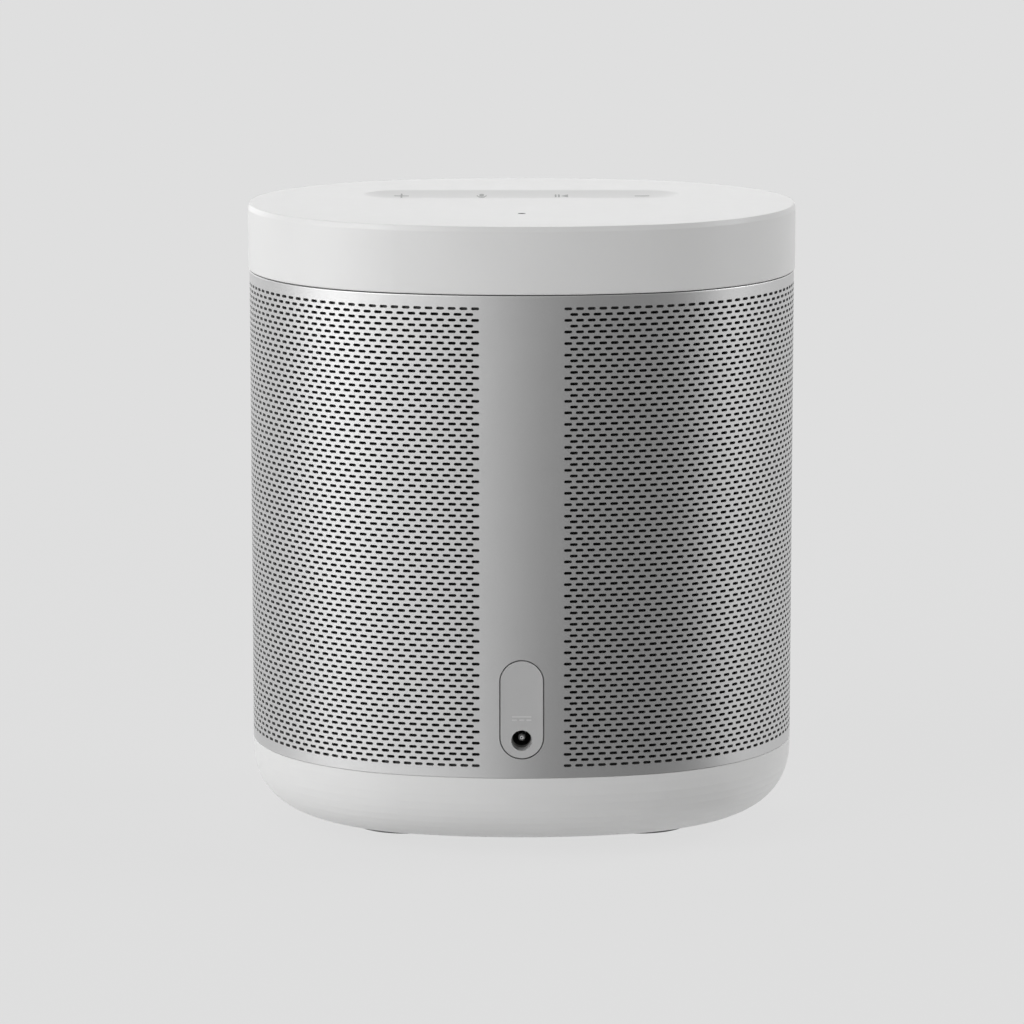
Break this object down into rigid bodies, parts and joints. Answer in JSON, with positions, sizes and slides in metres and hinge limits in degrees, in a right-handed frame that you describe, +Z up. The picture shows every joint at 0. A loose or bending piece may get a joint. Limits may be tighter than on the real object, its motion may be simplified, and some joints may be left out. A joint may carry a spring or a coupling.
{
  "type": "smart speaker",
  "caption": "Oval tabletop smart speaker: slotted metal sleeve between a white cap with a touch recess and a white base, with a driver that fires down onto a diffuser.",
  "frame": {"origin": "centre of the foot's underside, on the surface that the speaker stands on", "axes": "+Z up through the cap, +Y towards the listening side, with the power socket at the rear towards -Y and +X across the width"},
  "size_m": [0.131, 0.104, 0.151],
  "materials": {
    "white_shell": "fine matte moulded plastic, white",
    "sleeve_metal": "bead-blasted, anodised silver",
    "speaker_cloth": "thin black acoustic cloth",
    "port_plastic": "satin silver-grey plastic",
    "foot_rubber": "dark grey soft rubber",
    "dark_plastic": "dark moulded plastic",
    "soft_rubber": "black rubber",
    "steel": "zinc plated steel",
    "ferrite": "dark grey sintered ferrite",
    "paper_cone": "black pressed paper",
    "spider_cloth": "varnished woven cloth",
    "former_film": "amber film",
    "copper_wire": "enamelled copper wire",
    "circuit_board": "green solder mask",
    "chip_black": "moulded black epoxy",
    "sink_aluminium": "extruded aluminium",
    "contact_gold": "gold plated brass",
    "pin_chrome": "polished nickel",
    "socket_ivory": "ivory moulded plastic",
    "lead_jacket": "black flexible jacket",
    "ribbon": "flat flexible ribbon",
    "terminal_board": "brown laminate with tinned tabs"
  },
  "bodies": {
    "casing": {"top_cap": "white_shell", "cap_frame": "dark_plastic", "frame_screws": "steel", "touch_board": "circuit_board", "touch_pads": "contact_gold", "status_leds": "socket_ivory", "touch_screws": "steel", "mic_capsule": "contact_gold", "mic_boot": "soft_rubber", "antennas": "circuit_board", "grille_sleeve": "sleeve_metal", "acoustic_cloth": "speaker_cloth", "cabinet_body": "dark_plastic", "cabinet_gasket": "soft_rubber", "cabinet_lid": "dark_plastic", "lid_screws": "steel", "lead_grommet": "soft_rubber", "driver_basket": "steel", "driver_gasket": "soft_rubber", "driver_screws": "steel", "pole_plate": "steel", "magnet": "ferrite", "yoke": "steel", "terminal_strip": "terminal_board", "surround": "soft_rubber", "spider": "spider_cloth", "speaker_lead": "lead_jacket", "main_board": "circuit_board", "shield_can": "steel", "amplifier_chip": "chip_black", "heat_sink": "sink_aluminium", "inductors": "ferrite", "capacitors": "chip_black", "board_connectors": "socket_ivory", "board_screws": "steel", "touch_ribbon": "ribbon", "power_board": "circuit_board", "power_connector": "socket_ivory", "power_lead": "lead_jacket", "port_plate": "port_plastic", "port_housing": "dark_plastic", "port_screws": "steel", "dc_jack": "dark_plastic", "jack_pin": "pin_chrome", "jack_contacts": "contact_gold", "base_shell": "white_shell", "base_screws": "steel", "foot_ring": "foot_rubber", "diffuser": "dark_plastic", "diffuser_screws": "steel"},
    "cone_assembly": {"cone": "paper_cone", "dust_cap": "paper_cone", "coil_former": "former_film", "coil_winding": "copper_wire"}
  },
  "joints": [
    {"name": "cone_stroke", "type": "slide", "parent": "casing", "child": "cone_assembly", "axis": [0, 0, 1], "range_m": [-0.0025, 0.0025], "stiffness_N_per_m": 1500, "deforming": ["surround", "spider"]}
  ]
}
